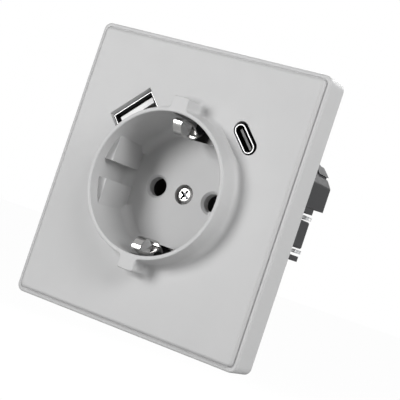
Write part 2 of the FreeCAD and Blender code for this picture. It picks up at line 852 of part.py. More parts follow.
def charger_housing():
    wall = housing_wall
    shell = segment(housing_radius, housing_half_width, base_top, housing_front, housing_back)
    corners = [edge for edge in edges_along_y(shell, housing_back - housing_front)
               if abs(edge.CenterOfMass.x) > housing_half_width - 1 and edge.CenterOfMass.z > base_top + 1]
    shell = shell.makeFillet(housing_edge_round, corners)
    channel = tongue_half_width + channel_gap
    channel_back = board_front - wall
    inner = segment(housing_radius - wall, housing_half_width - wall, base_top + wall,
                    housing_front + wall, housing_back)
    bridge = block(-channel - wall, channel + wall, housing_front, board_front, base_top, far)
    hollow = inner.cut(bridge)
    cutters = [hollow, block(-channel, channel, housing_front, channel_back, base_top, far)]
    gap = 2 * port_hole_gap
    window = block(-usb_a_width / 2 - gap, usb_a_width / 2 + gap, housing_front, board_front,
                   -usb_a_height / 2 - gap, usb_a_height / 2 + gap)
    cutters.append(placed(window, usb_a_place, usb_a_turn))
    window = stadium(usb_c_width + 2 * gap, usb_c_height + 2 * gap, housing_front, board_front)
    cutters.append(placed(window, usb_c_place, usb_c_turn))
    room = lid_arm(far, housing_back - arm_length - arm_gap, housing_back, arm_notch, arm_gap)
    cutters.extend([room, mirror_x(room)])
    for side in (-1, 1):
        cutters.append(upright_rod(housing_screw_radius, side * housing_screw_x, housing_screw_y,
                                   base_top, base_top + wall))
    return shell.cut(cutters).removeSplitter()


def charger_lid():
    """The lid at the back, with a lip inside the housing and two snap arms beside a notch."""
    lid_back = housing_back + lid_thickness
    plate = segment(housing_radius, housing_half_width, base_top, housing_back, lid_back)
    plate = plate.makeFillet(lid_thickness / 2, edges_at_y(plate, lid_back))
    inset = housing_wall + lid_fit
    lip = segment(housing_radius - inset, housing_half_width - inset, base_top + inset,
                  housing_back - lid_lip, housing_back)
    inset = inset + housing_wall
    core = segment(housing_radius - inset, housing_half_width - inset, base_top + inset,
                   housing_back - lid_lip, housing_back)
    notch = lid_arm(far, housing_back, lid_back, arm_notch, -arm_height)
    arm = lid_arm(housing_radius + arm_proud, housing_back - arm_length, lid_back, 0, 0)
    lid = plate.fuse(lip.cut(core)).cut([notch, mirror_x(notch)])
    return lid.fuse([arm, mirror_x(arm)]).removeSplitter()


def charger_board():
    inset = housing_wall + board_gap
    board = segment(housing_radius - inset, housing_half_width - inset, base_top + inset,
                    board_front, board_back)
    return board


def transformer_block(half, margin):
    """A block about the core's centre, short of the core's depth by a margin at each end."""
    centre = base_top + core_rise
    return block(-half, half, board_back + margin, board_back + core_depth - margin,
                 centre - core_height / 2, centre + core_height / 2)


def transformer_core():
    """An E core: two windows beside a middle limb twice as wide as the outer ones."""
    half = core_width / 2
    windows = transformer_block(half - core_limb, core_limb)
    windows = windows.cut(transformer_block(core_limb, core_limb))
    return transformer_block(half, 0).cut(windows)


def transformer_coil():
    room = core_width / 2 - core_limb - coil_margin / 2
    reach = core_height / 2 + coil_overhang
    centre = base_top + core_rise
    start, end = board_back + core_limb, board_back + core_depth - core_limb
    coil = block(-room, room, start, end, centre - reach, centre + reach)
    coil = coil.makeFillet(core_limb / 2, edges_along_y(coil, end - start))
    return coil.cut(transformer_block(core_limb, core_limb))


def charger_capacitors():
    cans = []
    for side in (-1, 1):
        can = rod(capacitor_radius, board_back, board_back + capacitor_length,
                  side * (housing_radius - capacitor_inset_x), housing_radius - capacitor_inset_z)
        ends = edges_at_y(can, board_back + capacitor_length)
        cans.append(can.makeFillet(capacitor_edge_round, ends))
    return Part.makeCompound(cans)


def charger_chip():
    x, z = chip_inset - housing_radius, base_top + chip_rise
    return block(x - chip_width / 2, x + chip_width / 2, board_back, board_back + chip_thickness,
                 z - chip_height / 2, z + chip_height / 2)


def housing_screws():
    screws = []
    seat = base_top + housing_wall
    for side in (-1, 1):
        x, y = side * housing_screw_x, housing_screw_y
        shank = upright_rod(housing_screw_radius, x, y, seat - housing_screw_length, seat)
        head = upright_rod(housing_screw_head, x, y, seat, seat + housing_screw_head_height)
        screws.append(shank.fuse(head).removeSplitter())
    return Part.makeCompound(screws)


# The two ports

def flared_bar(width, height, corner):
    """A rounded bar as deep as the type A shell, wider at its mouth."""
    bar = rounded_plate(width, height, usb_a_front + usb_a_flare_depth, board_front, corner)
    wide = rounded_plate(width + 2 * usb_a_flare, height + 2 * usb_a_flare, usb_a_front,
                         usb_a_front + usb_a_flare_depth, corner)
    narrow = edges_at_y(bar, usb_a_front + usb_a_flare_depth)
    mouth = [Part.Wire(Part.__sortEdges__(edges)) for edges in (edges_at_y(wide, usb_a_front), narrow)]
    return bar.fuse(Part.makeLoft(mouth, True, True))


def usb_a_shell():
    tube = flared_bar(usb_a_width, usb_a_height, usb_a_corner)
    wall = 2 * usb_a_wall
    bore = flared_bar(usb_a_width - wall, usb_a_height - wall, usb_a_corner - usb_a_wall)
    return placed(tube.cut(bore).removeSplitter(), usb_a_place, usb_a_turn)


def usb_a_tongue():
    """The tongue lies on the side away from the collar."""
    wall = 2 * usb_a_wall
    plug = rounded_plate(usb_a_width - wall, usb_a_height - wall, board_front - port_plug_length,
                         board_front, usb_a_corner - usb_a_wall)
    low = usb_a_tongue_offset - usb_a_tongue_height / 2
    tongue = block(-usb_a_tongue_width / 2, usb_a_tongue_width / 2, usb_a_front + usb_a_tongue_sink,
                   board_front, low, low + usb_a_tongue_height)
    return placed(plug.fuse(tongue).removeSplitter(), usb_a_place, usb_a_turn)


def usb_c_shell():
    tube = stadium(usb_c_width, usb_c_height, usb_c_front, board_front)
    wall = 2 * usb_c_wall
    bore = stadium(usb_c_width - wall, usb_c_height - wall, usb_c_front, board_front)
    return placed(tube.cut(bore), usb_c_place, usb_c_turn)


def usb_c_tongue():
    wall = 2 * usb_c_wall
    plug = stadium(usb_c_width - wall, usb_c_height - wall, board_front - port_plug_length, board_front)
    half_width, half = usb_c_tongue_width / 2, usb_c_tongue_height / 2
    tongue = block(-half_width, half_width, usb_c_front + usb_c_tongue_sink, board_front, -half, half)
    return placed(plug.fuse(tongue).removeSplitter(), usb_c_place, usb_c_turn)


save("front_panel", front_panel())
save("surround_frame", surround_frame())
save("support_ring", support_ring())
save("ring_rivets", ring_rivets())
save("socket_base", socket_base())
save("cover_screw", cover_screw())
save("earth_strap", earth_strap())
save("earth_clip_upper", earth_clip())
save("earth_clip_lower", mirror_z(earth_clip()))
save("neutral_contact", pin_contact())
save("live_contact", mirror_x(pin_contact()))
for wire, across in terminal_places():
    save("terminal_screw_" + wire, terminal_screw(across))
    save("terminal_clamp_" + wire, terminal_clamp(across))
for name, shape in (("claw", claw()), ("claw_nut", claw_nut()), ("claw_screw", claw_screw())):
    save(name + "_right", shape)
    save(name + "_left", mirror_x(shape))
save("charger_housing", charger_housing())
save("charger_lid", charger_lid())
save("charger_board", charger_board())
save("transformer_core", transformer_core())
save("transformer_coil", transformer_coil())
save("charger_capacitors", charger_capacitors())
save("charger_chip", charger_chip())
save("housing_screws", housing_screws())
save("usb_a_shell", usb_a_shell())
save("usb_a_tongue", usb_a_tongue())
save("usb_c_shell", usb_c_shell())
save("usb_c_tongue", usb_c_tongue())
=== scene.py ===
import math
import bmesh
import bpy
from mathutils import Matrix, Vector


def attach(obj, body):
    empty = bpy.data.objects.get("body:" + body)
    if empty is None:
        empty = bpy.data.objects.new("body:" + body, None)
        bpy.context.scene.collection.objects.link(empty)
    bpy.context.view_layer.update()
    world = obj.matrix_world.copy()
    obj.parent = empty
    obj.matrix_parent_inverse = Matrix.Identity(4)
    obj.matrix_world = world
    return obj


# A flush wall socket with two USB charging ports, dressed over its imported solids.
# Lengths are in millimetres where they are named, and mm turns them into metres.
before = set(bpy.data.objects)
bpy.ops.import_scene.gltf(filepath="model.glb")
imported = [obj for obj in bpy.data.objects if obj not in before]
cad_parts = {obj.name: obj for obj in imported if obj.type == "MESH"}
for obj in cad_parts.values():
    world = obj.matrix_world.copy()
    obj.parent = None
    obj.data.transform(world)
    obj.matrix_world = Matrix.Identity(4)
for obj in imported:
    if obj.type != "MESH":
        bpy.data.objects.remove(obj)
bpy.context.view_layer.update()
mm = 0.001


# Camera
# It stands to the right of the socket and a little below its middle, and is rolled so that
# the socket leans to the right. The place, aim and roll come from the plug's standard sizes.
camera_place = Vector((178.64, -304.37, -9.78)) * mm
camera_aim = Vector((11.91, -10.0, -0.41)) * mm
camera_roll = math.radians(18.551)
camera_focal_pixels = 1234.8
picture_width_pixels = 400
sensor_width = 36.0
nearest_seen = 10.0
farthest_seen = 20000.0

scene = bpy.context.scene
camera_data = bpy.data.cameras.new("view_camera")
camera_data.sensor_width = sensor_width
camera_data.lens = sensor_width * camera_focal_pixels / picture_width_pixels
camera_data.clip_start = nearest_seen * mm
camera_data.clip_end = farthest_seen * mm
camera = bpy.data.objects.new("view_camera", camera_data)
scene.collection.objects.link(camera)
look = (camera_aim - camera_place).to_track_quat("-Z", "Y").to_matrix().to_4x4()
roll = Matrix.Rotation(camera_roll, 4, "Z")
camera.matrix_world = Matrix.Translation(camera_place) @ look @ roll
scene.camera = camera
scene.view_settings.view_transform = "Standard"


# Floor, white surround and studio lamps
# A pale floor lies well below the socket, because the socket hangs in a wall. The surround is
# white to the eye and to bright metal, and gives only a weak fill to everything else.
floor_drop = 130.0
floor_half_width = 4000.0
floor_grey = (0.5, 0.5, 0.5, 1.0)
floor_glow = 0.9
glow_strength = 1.09
fill_strength = 0.01
mirror_strength = 0.5
white = (1.0, 1.0, 1.0, 1.0)
middle_of_socket = (0, -8, 0)
studio_lamps = {  # name: its place, what it points at, its width and its power
    "key_lamp": ((-375, -645, 75), middle_of_socket, 320, 3.55),
    "high_lamp": ((450, -405, 450), middle_of_socket, 300, 1.3),
    "side_lamp": ((640, -190, 330), middle_of_socket, 300, 2.7),
    "edge_lamp": ((680, 300, 40), (0, 0, 0), 300, 0.9),
    "back_lamp_left": ((-420, 600, 260), (0, 10, 0), 400, 1.8),
    "back_lamp_right": ((40, 600, 450), (0, 10, 0), 400, 1.8),
}


class Value:
    """A shader socket that can be used in Python expressions; each adds its Math node."""

    def __init__(self, finish, socket):
        self.finish = finish
        self.socket = socket

    def _math(self, operation, first, second):
        return self.finish.node("ShaderNodeMath", {"operation": operation},
                                {0: first, 1: second})

    def __add__(self, other):
        return self._math("ADD", self, other)

    def __radd__(self, other):
        return self._math("ADD", other, self)

    def __sub__(self, other):
        return self._math("SUBTRACT", self, other)

    def __rsub__(self, other):
        return self._math("SUBTRACT", other, self)

    def __mul__(self, other):
        return self._math("MULTIPLY", self, other)

    def __rmul__(self, other):
        return self._math("MULTIPLY", other, self)

    def __abs__(self):
        return self._math("ABSOLUTE", self, 0.0)

    def root(self):
        return self._math("SQRT", self, 0.0)

    def at_least(self, other):
        return self._math("MAXIMUM", self, other)

    def rise(self, low, high):
        """0 up to low, 1 from high on, and a straight slope between them."""
        inputs = {"Value": self, "From Min": low, "From Max": high}
        return self.finish.node("ShaderNodeMapRange", {"clamp": True}, inputs)


class Finish:
    """A node material. Any node comes from node(): type, settings, then values or links."""

    def __init__(self, name, tree=None):
        self.material = None
        if tree is None:
            self.material = bpy.data.materials.new(name)
            self.material.use_nodes = True
            tree = self.material.node_tree
        self.tree = tree
        self.tree.nodes.clear()

    def node(self, kind, settings=None, inputs=None, output=0):
        made = self.tree.nodes.new(kind)
        for name, value in (settings or {}).items():
            setattr(made, name, value)
        for name, value in (inputs or {}).items():
            if isinstance(value, Value):
                self.tree.links.new(value.socket, made.inputs[name])
            else:
                made.inputs[name].default_value = value
        return Value(self, made.outputs[output]) if len(made.outputs) else None

    def place(self):
        return self.node("ShaderNodeTexCoord", output="Object")

    def axes(self):
        """X, Y and Z of a spot on the object, each in millimetres."""
        spot = self.node("ShaderNodeVectorMath", {"operation": "SCALE"},
                         {"Vector": self.place(), "Scale": 1 / mm})
        return [self.node("ShaderNodeSeparateXYZ", {}, {"Vector": spot}, output=axis)
                for axis in "XYZ"]

    def noise(self, size, detail=2.0, stretch=(1.0, 1.0, 1.0)):
        """Soft random values whose spots are about size millimetres across."""
        spot = self.node("ShaderNodeMapping", {}, {"Vector": self.place(), "Scale": stretch})
        inputs = {"Vector": spot, "Scale": 1.0 / (size * mm), "Detail": detail}
        return self.node("ShaderNodeTexNoise", {}, inputs)

    def mix(self, factor, first, second):
        """Goes from the first colour to the second as factor goes from 0 to 1."""
        ends = [end if isinstance(end, Value) else (*end, 1.0) for end in (first, second)]
        # The node's sockets for colours are inputs 6 and 7 and output 2.
        return self.node("ShaderNodeMix", {"data_type": "RGBA"},
                         {0: factor, 6: ends[0], 7: ends[1]}, output=2)

    def bump(self, height, depth, strength):
        inputs = {"Height": height, "Distance": depth * mm, "Strength": strength}
        return self.node("ShaderNodeBump", {}, inputs)

    def surface(self, **sockets):
        """The shader itself, and the material's output."""
        inputs = {name.replace("_", " "): value for name, value in sockets.items()}
        shader = self.node("ShaderNodeBsdfPrincipled", {}, inputs)
        self.node("ShaderNodeOutputMaterial", {}, {"Surface": shader})
        return self.material


world = bpy.data.worlds.new("studio_surround")
scene.world = world
world.use_nodes = True
surround = Finish("studio_surround", world.node_tree)
seen = surround.node("ShaderNodeLightPath", output="Is Camera Ray")
mirrored = surround.node("ShaderNodeLightPath", output="Is Glossy Ray")
through = surround.node("ShaderNodeLightPath", output="Is Transmission Ray")
direct = seen.at_least(through)
fill = mirrored * mirror_strength + fill_strength * (1 - mirrored)
backdrop = surround.node("ShaderNodeBackground", {},
                         {"Color": white, "Strength": direct + (1 - direct) * fill})
surround.node("ShaderNodeOutputWorld", {}, {"Surface": backdrop})

bpy.ops.object.select_all(action="DESELECT")
bpy.ops.mesh.primitive_plane_add(size=2 * floor_half_width * mm,
                                 location=(0, 0, -floor_drop * mm))
floor = bpy.context.object
floor.name = "studio_floor"
pale = Finish("pale_floor")
to_eye = pale.node("ShaderNodeLightPath", output="Is Camera Ray")
lit = pale.node("ShaderNodeBsdfDiffuse", {}, {"Color": floor_grey})
glow = pale.node("ShaderNodeEmission", {}, {"Color": white, "Strength": glow_strength})
both = pale.node("ShaderNodeMixShader", {}, {0: to_eye * floor_glow, 1: lit, 2: glow})
pale.node("ShaderNodeOutputMaterial", {}, {"Surface": both})
floor.data.materials.append(pale.material)


def area_lamp(name, place, aim, width, power):
    data = bpy.data.lights.new(name, "AREA")
    data.shape = "DISK"
    data.size = width * mm
    data.energy = power
    lamp = bpy.data.objects.new(name, data)
    scene.collection.objects.link(lamp)
    toward = (Vector(aim) - Vector(place)) * mm
    turn = toward.to_track_quat("-Z", "Y").to_matrix().to_4x4()
    lamp.matrix_world = Matrix.Translation(Vector(place) * mm) @ turn


for name, setting in studio_lamps.items():
    area_lamp(name, *setting)


# Cover mouldings
# Front panel and surround frame are moulded in the same pale grey thermoplastic with a fine
# spark-eroded grain. The panel clips over the frame and one screw in the well holds both.
cover_colour = (0.56, 0.56, 0.56)
cover_shade = (0.542, 0.543, 0.545)
cover_dullness = 0.42
cover_specular = 0.42
cover_grain = 0.16
cover_grain_depth = 0.006
cover_wave = 9.0


def cover_plastic():
    finish = Finish("cover_plastic")
    grain = finish.noise(cover_grain, detail=1.0)
    tone = finish.noise(cover_wave)
    colour = finish.mix(tone, cover_colour, cover_shade)
    rough = grain * 0.10 + tone * 0.05 + cover_dullness
    flow = grain + tone * 0.6
    return finish.surface(Base_Color=colour, Roughness=rough, IOR=1.5,
                          Specular_IOR_Level=cover_specular,
                          Normal=finish.bump(flow, cover_grain_depth, 0.6))


def dress(node_names, material):
    """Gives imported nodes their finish."""
    for name in node_names:
        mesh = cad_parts[name].data
        mesh.materials.clear()
        mesh.materials.append(material)


cover_material = cover_plastic()
dress(["front_panel", "surround_frame"], cover_material)


# Seam lip
# A thin lip of the same pale plastic runs all the way round the panel in its seam with the
# frame, a little below the frame's face. It is moulded on and stops light and dust.
panel_width = 73.5
panel_height = 80.5
seam_gap = 0.34
seam_lip_width = panel_width + 2 * seam_gap
seam_lip_height = panel_height + 2 * seam_gap
seam_lip_thickness = 0.33
seam_lip_front = -8.82
seam_lip_depth = 0.7
seam_lip_round = 1.7
seam_lip_steps = 8


def edit_all():
    bpy.ops.object.mode_set(mode="EDIT")
    bpy.ops.mesh.select_all(action="SELECT")


def settle(obj, name, material, body, turn=0.0):
    """Leaves edit mode, puts the place into the mesh, and gives a piece its finish and body."""
    bpy.ops.object.mode_set(mode="OBJECT")
    obj.data.transform(Matrix.Rotation(math.radians(turn), 4, "Y") @ obj.matrix_world)
    obj.matrix_world = Matrix.Identity(4)
    obj.name = name
    obj.data.name = name
    obj.data.materials.clear()
    obj.data.materials.append(material)
    bpy.ops.object.select_all(action="DESELECT")
    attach(obj, body)
    return obj


bpy.ops.mesh.primitive_plane_add(size=1.0, location=(0, seam_lip_front * mm, 0),
                                 rotation=(math.pi / 2, 0, 0))
seam_lip = bpy.context.object
seam_lip.scale = (seam_lip_width * mm, seam_lip_height * mm, 1.0)
bpy.ops.object.transform_apply(location=False, rotation=False, scale=True)
edit_all()
bpy.ops.mesh.bevel(offset=seam_lip_round * mm, segments=seam_lip_steps, affect="VERTICES")
bpy.ops.mesh.inset(thickness=seam_lip_thickness * mm)
bpy.ops.mesh.delete(type="FACE")
edit_all()
bpy.ops.mesh.extrude_region_move(
    TRANSFORM_OT_translate={"value": (0, seam_lip_depth * mm, 0)})
edit_all()
bpy.ops.mesh.normals_make_consistent(inside=False)
settle(seam_lip, "seam_lip", cover_material, "socket_body")


# Well rounds
# Where the well's wall meets its floor, the panel's pale plastic is rounded by its mould. Four
# rounds run between the guide ribs and the clip slots, and a short one lies in the groove of
# each pair of ribs.
corner_reach = 19.95
corner_floor = 1.13
corner_round = 3.0
corner_steps = 14
corner_slack = 0.001
corner_weld = 0.01
corner_sharp = 40.0
turn_step = 2.5
fewest_turn_steps = 4
long_arc = (25.0, 74.3)
short_arc = (-8.4, 8.4)


def pick(obj, wanted, kind="VERT"):
    """In edit mode, selects the vertices or faces whose middle, in millimetres, is wanted."""
    bpy.ops.mesh.select_all(action="DESELECT")
    bpy.ops.mesh.select_mode(type=kind)
    bpy.ops.object.mode_set(mode="OBJECT")
    for part in (obj.data.vertices if kind == "VERT" else obj.data.polygons):
        middle = part.co if kind == "VERT" else part.center
        part.select = bool(wanted(*(obj.matrix_world @ middle / mm)))
    bpy.ops.object.mode_set(mode="EDIT")


def corner_arc(name, first, last):
    """Spins the corner's hollow section round the well, from one angle to the other."""
    middle_x, middle_y = corner_reach - corner_round, corner_floor - corner_round
    bpy.ops.mesh.primitive_circle_add(vertices=4 * corner_steps, radius=corner_round * mm,
                                      location=(middle_x * mm, middle_y * mm, 0))
    arc = bpy.context.object
    bpy.ops.object.mode_set(mode="EDIT")
    pick(arc, lambda x, y, z: x < middle_x - corner_slack or y < middle_y - corner_slack)
    bpy.ops.mesh.delete(type="VERT")
    edit_all()
    bpy.ops.mesh.extrude_edges_move()
    bpy.ops.mesh.merge(type="CENTER")
    centre = [v for v in bmesh.from_edit_mesh(arc.data).verts if v.select][0]
    corner = Vector((corner_reach, corner_floor, 0)) * mm
    bpy.ops.transform.translate(value=corner - arc.matrix_world @ centre.co)
    edit_all()
    steps = max(fewest_turn_steps, round((last - first) / turn_step))
    bpy.ops.mesh.spin(steps=steps, angle=math.radians(first - last), center=(0, 0, 0),
                      axis=(0, 1, 0))
    edit_all()
    bpy.ops.mesh.remove_doubles(threshold=corner_weld * mm)
    bpy.ops.mesh.fill_holes(sides=0)
    bpy.ops.mesh.normals_make_consistent(inside=False)
    bpy.ops.object.mode_set(mode="OBJECT")
    bpy.ops.object.shade_smooth_by_angle(angle=math.radians(corner_sharp))
    return settle(arc, name, cover_material, "socket_body", turn=first)


def turned_copy(piece, name, turn):
    twin = piece.copy()
    twin.data = piece.data.copy()
    twin.name = name
    twin.data.name = name
    scene.collection.objects.link(twin)
    twin.data.transform(Matrix.Rotation(math.radians(turn), 4, "Y"))
    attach(twin, "socket_body")


long_round = corner_arc("well_round_1", *long_arc)
spread = 180.0 - long_arc[0] - long_arc[1]
for i, turn in enumerate((spread, 180.0, 180.0 + spread)):
    turned_copy(long_round, "well_round_%d" % (i + 2), turn)
short_round = corner_arc("groove_round_1", *short_arc)
turned_copy(short_round, "groove_round_2", 180.0)


# Base mouldings
# The socket base, the charger's housing and lid and the travelling nuts of the claws are
# moulded in a dark grey heat-resistant plastic, satin, with faint flow marks.
base_colour = (0.040, 0.040, 0.042)
base_pale = (0.056, 0.056, 0.058)
base_dullness = 0.45
base_specular = 0.28
base_grain = 0.22
base_grain_depth = 0.010
base_flow = 6.0
base_flow_stretch = (1.0, 0.3, 1.0)


def base_plastic():
    finish = Finish("base_plastic")
    grain = finish.noise(base_grain)
    flow = finish.noise(base_flow, detail=3.0, stretch=base_flow_stretch)
    colour = finish.mix(flow, base_colour, base_pale)
    rough = flow * 0.12 + grain * 0.10 + base_dullness
    return finish.surface(Base_Color=colour, Roughness=rough,
                          Specular_IOR_Level=base_specular,
                          Normal=finish.bump(grain, base_grain_depth, 0.7))


base_material = base_plastic()
dress(["socket_base", "charger_housing", "charger_lid", "claw_nut_left", "claw_nut_right"],
      base_material)


# Lid catches
# Under each snap arm of the lid a low catch stands in the arm's notch. It is moulded with the
# charger's housing, in the same dark plastic, and its outer end is tapered and rounded.
catch_low = Vector((20.2, 35.2, 18.82))
catch_high = Vector((22.35, 42.5, 19.58))
catch_taper = (1.0, 0.92, 0.8)
catch_round = 0.12
pick_slack = 0.01


def lid_catch(name, sign):
    middle = (catch_low + catch_high) / 2
    middle.x *= sign
    bpy.ops.mesh.primitive_cube_add(size=1.0, location=middle * mm)
    catch = bpy.context.object
    catch.scale = (catch_high - catch_low) * mm
    bpy.ops.object.transform_apply(location=False, rotation=False, scale=True)
    bpy.ops.object.mode_set(mode="EDIT")
    pick(catch, lambda x, y, z: abs(x) > catch_high.x - pick_slack, "FACE")
    bpy.ops.transform.resize(value=catch_taper)
    edit_all()
    bpy.ops.mesh.bevel(offset=catch_round * mm, segments=2, affect="EDGES")
    settle(catch, name, base_material, "socket_body")


lid_catch("lid_catch_left", -1)
lid_catch("lid_catch_right", 1)


# Zinc plated steel
# The carrier ring, claws, screws, rivets and clamping plates are stamped or turned from mild
# steel and zinc plated, so they are bright with a faint cloudy crystal pattern. The claws get a
# lighter copy of the zinc, which is a painted highlight.
zinc_colour = (0.60, 0.61, 0.62)
zinc_dull = (0.45, 0.46, 0.47)
# painted highlight: the claws' zinc is a lighter copy of the same plating
claw_highlight_colour = (0.90, 0.90, 0.90)
zinc_polish = 0.18
zinc_crystal = 1.6
zinc_crystal_edge = (0.35, 0.7)
zinc_scratch = 0.25
zinc_scratch_stretch = (1.0, 0.06, 1.0)
sheet_relief = 0.004
claw_relief = 0.05


def zinc_steel(name, light, dull, relief):
    finish = Finish(name)
    cloud = finish.noise(zinc_crystal, detail=4.0)
    scratch = finish.noise(zinc_scratch, stretch=zinc_scratch_stretch)
    colour = finish.mix(cloud.rise(*zinc_crystal_edge), light, dull)
    rough = cloud * 0.22 + scratch * 0.10 + zinc_polish
    return finish.surface(Base_Color=colour, Metallic=1.0, Roughness=rough,
                          Normal=finish.bump(scratch + cloud * 2.0, relief, 0.5))


zinc_material = zinc_steel("zinc_steel", zinc_colour, zinc_dull, sheet_relief)
dress(["support_ring", "ring_rivets", "housing_screws", "claw_screw_left", "claw_screw_right"],
      zinc_material)
dress(["claw_left", "claw_right"],
      zinc_steel("zinc_painted_highlight", claw_highlight_colour, zinc_colour, claw_relief))
for wire in ("live", "earth", "neutral"):
    dress(["terminal_screw_" + wire, "terminal_clamp_" + wire], zinc_material)


# Screw threads
# The claw and terminal screws have machine threads, rolled on the shank before it is plated.
# Each thread is a helical ridge that turns and travels with its own screw.
thread_height = 0.17
thread_steps = 20
claw_thread_pitch = 0.9
claw_thread_start = 0.2
claw_thread_end = 27.0
claw_screw_reach = 25.2
claw_screw_radius = 1.7
terminal_thread_pitch = 0.8
terminal_thread_start = -9.4
terminal_thread_end = -18.2
terminal_screw_depth = 14.0
terminal_screw_radius = 1.4
terminal_places = {"live": -12.5, "earth": 0.0, "neutral": 12.5}


def screw_thread(name, body, radius, pitch, length, place, along):
    """A ridge on a shank: it starts at place and runs length millimetres along an axis."""
    bpy.ops.mesh.primitive_circle_add(vertices=3, radius=thread_height * mm,
                                      rotation=(0, 0, -math.pi / 2))
    ridge = bpy.context.object
    bpy.ops.object.transform_apply(location=False, rotation=True, scale=False)
    ridge.data.transform(Matrix.Translation((radius * mm, 0, 0)))
    turning = ridge.modifiers.new("turning", "SCREW")
    turning.axis = "Y"
    turning.screw_offset = pitch * mm
    turning.iterations = int(length / pitch)
    turning.steps = turning.render_steps = thread_steps
    bpy.ops.object.modifier_apply(modifier="turning")
    edit_all()
    bpy.ops.mesh.fill_holes(sides=3)
    bpy.ops.mesh.normals_make_consistent(inside=False)
    bpy.ops.object.mode_set(mode="OBJECT")
    turn = Vector((0, 1, 0)).rotation_difference(Vector(along)).to_matrix().to_4x4()
    ridge.matrix_world = Matrix.Translation(Vector(place) * mm) @ turn
    settle(ridge, name, zinc_material, body)


for side, sign in (("left", -1), ("right", 1)):
    screw_thread("claw_thread_" + side, "clawscrew_" + side, claw_screw_radius,
                 claw_thread_pitch, claw_thread_end - claw_thread_start,
                 (sign * claw_screw_reach, claw_thread_start, 0), (0, 1, 0))
for wire, x in terminal_places.items():
    screw_thread("terminal_thread_" + wire, "screw_" + wire, terminal_screw_radius,
                 terminal_thread_pitch, terminal_thread_start - terminal_thread_end,
                 (x, terminal_screw_depth, terminal_thread_start), (0, 0, -1))


# Nickel plated parts
# The cover screw, the earth clips and their strap and the shells of both ports are nickel
# plated, almost mirror bright, with fine rolling lines.
nickel_colour = (0.74, 0.73, 0.72)
nickel_dull = (0.60, 0.595, 0.59)
# painted shade: the dark colour painted inside the port shells and in the cover screw's cross
# recess
nickel_painted_shade = (0.03, 0.03, 0.032)
nickel_line = 0.12
nickel_line_stretch = (1.0, 0.05, 1.0)
nickel_line_depth = 0.002
nickel_cloud = 2.2
nickel_cloud_edge = (0.3, 0.8)
screw_polish = 0.10
clip_polish = 0.07
# painted shade: where the cover screw's cross recess is painted dark
cross_edge = (1.62, 1.72)
cross_depth = (1.5, 1.62)


def nickel_plate(name, light, dull, polish, shadow=None):
    """Nickel painted dark, as painted shade, where shadow, a function of X, Y and Z in
    millimetres, is 1.
    """
    finish = Finish(name)
    line = finish.noise(nickel_line, stretch=nickel_line_stretch)
    cloud = finish.noise(nickel_cloud)
    colour = finish.mix(cloud.rise(*nickel_cloud_edge), light, dull)
    if shadow:
        colour = finish.mix(shadow(*finish.axes()), colour, nickel_painted_shade)
    rough = line * 0.06 + cloud * 0.05 + polish
    return finish.surface(Base_Color=colour, Metallic=1.0, Roughness=rough,
                          Normal=finish.bump(line, nickel_line_depth, 0.4))


def cross_recess_shade(x, y, z):
    """Painted shade: the cross-shaped recess of the cover screw is painted dark, where shade
    falls.
    """
    return (1 - (x * x + z * z).root().rise(*cross_edge)) * y.rise(*cross_depth)


dress(["cover_screw"],
      nickel_plate("screw_nickel", nickel_colour, nickel_dull, screw_polish, cross_recess_shade))
dress(["earth_clip_upper", "earth_clip_lower", "earth_strap"],
      nickel_plate("clip_nickel", nickel_colour, nickel_dull, clip_polish))


# Port shells
# Each port is a seamless steel shell, nickel plated and fixed behind its window. Its nickel is
# painted darker than the other nickel parts, and painted dark inside and round the outer edge,
# all as painted shade, so only a thin band of its rim is bright.
# painted shade: the shells' nickel colours are a darker copy of the nickel, to dim its
# highlights
shell_colour = (0.46, 0.46, 0.455)
shell_dull = (0.36, 0.36, 0.355)
shell_polish = 0.36
port_turn = math.sqrt(0.5)
usb_a_side = 0.25
usb_a_reach = 25.35
usb_a_half_width = 6.82
usb_a_half_height = 3.1
usb_a_rim_outside = (-0.1, -0.04)
usb_a_rim_inside = (-0.26, -0.2)
usb_a_rim_back = (-8.95, -8.8)
usb_c_side = -0.14
usb_c_reach = 26.87
usb_c_half_length = 2.9
usb_c_rim_outside = (1.56, 1.62)
usb_c_rim_inside = (1.38, 1.44)
usb_c_rim_back = (-9.86, -9.76)


def usb_a_shade_mask(x, y, z):
    """Painted shade: everything but the bright band, which follows the shell's oblong."""
    along = abs((x + z) * port_turn - usb_a_side) - usb_a_half_width
    across = abs((z - x) * port_turn - usb_a_reach) - usb_a_half_height
    edge = along.at_least(across)
    outer = y.rise(*usb_a_rim_back).at_least(edge.rise(*usb_a_rim_outside))
    return outer.at_least(1 - edge.rise(*usb_a_rim_inside))


def usb_c_shade_mask(x, y, z):
    """Painted shade: everything but the bright band, which follows the shell's rounded slot."""
    along = abs((x - z) * port_turn - usb_c_side) - usb_c_half_length
    across = (x + z) * port_turn - usb_c_reach
    end = along.at_least(0.0)
    reach = (end * end + across * across).root()
    outer = y.rise(*usb_c_rim_back).at_least(reach.rise(*usb_c_rim_outside))
    return outer.at_least(1 - reach.rise(*usb_c_rim_inside))


dress(["usb_a_shell"],
      nickel_plate("usb_a_nickel", shell_colour, shell_dull, shell_polish, usb_a_shade_mask))
dress(["usb_c_shell"],
      nickel_plate("usb_c_nickel", shell_colour, shell_dull, shell_polish, usb_c_shade_mask))


# Brass contacts
# The live and neutral contacts are stamped and folded from spring brass, with the strip's
# rolling lines along them, and sit in pockets of the socket base.
brass_colour = (0.66, 0.47, 0.20)
brass_dull = (0.50, 0.34, 0.14)
brass_polish = 0.2
brass_cloud = 1.5
brass_line = 0.2
brass_line_stretch = (0.05, 1.0, 1.0)
brass_line_depth = 0.003


def stamped_brass():
    finish = Finish("stamped_brass")
    cloud = finish.noise(brass_cloud, detail=4.0)
    line = finish.noise(brass_line, detail=1.0, stretch=brass_line_stretch)
    colour = finish.mix(cloud, brass_colour, brass_dull)
    rough = cloud * 0.2 + line * 0.1 + brass_polish
    return finish.surface(Base_Color=colour, Metallic=1.0, Roughness=rough,
                          Normal=finish.bump(line, brass_line_depth, 0.5))


dress(["live_contact", "neutral_contact"], stamped_brass())
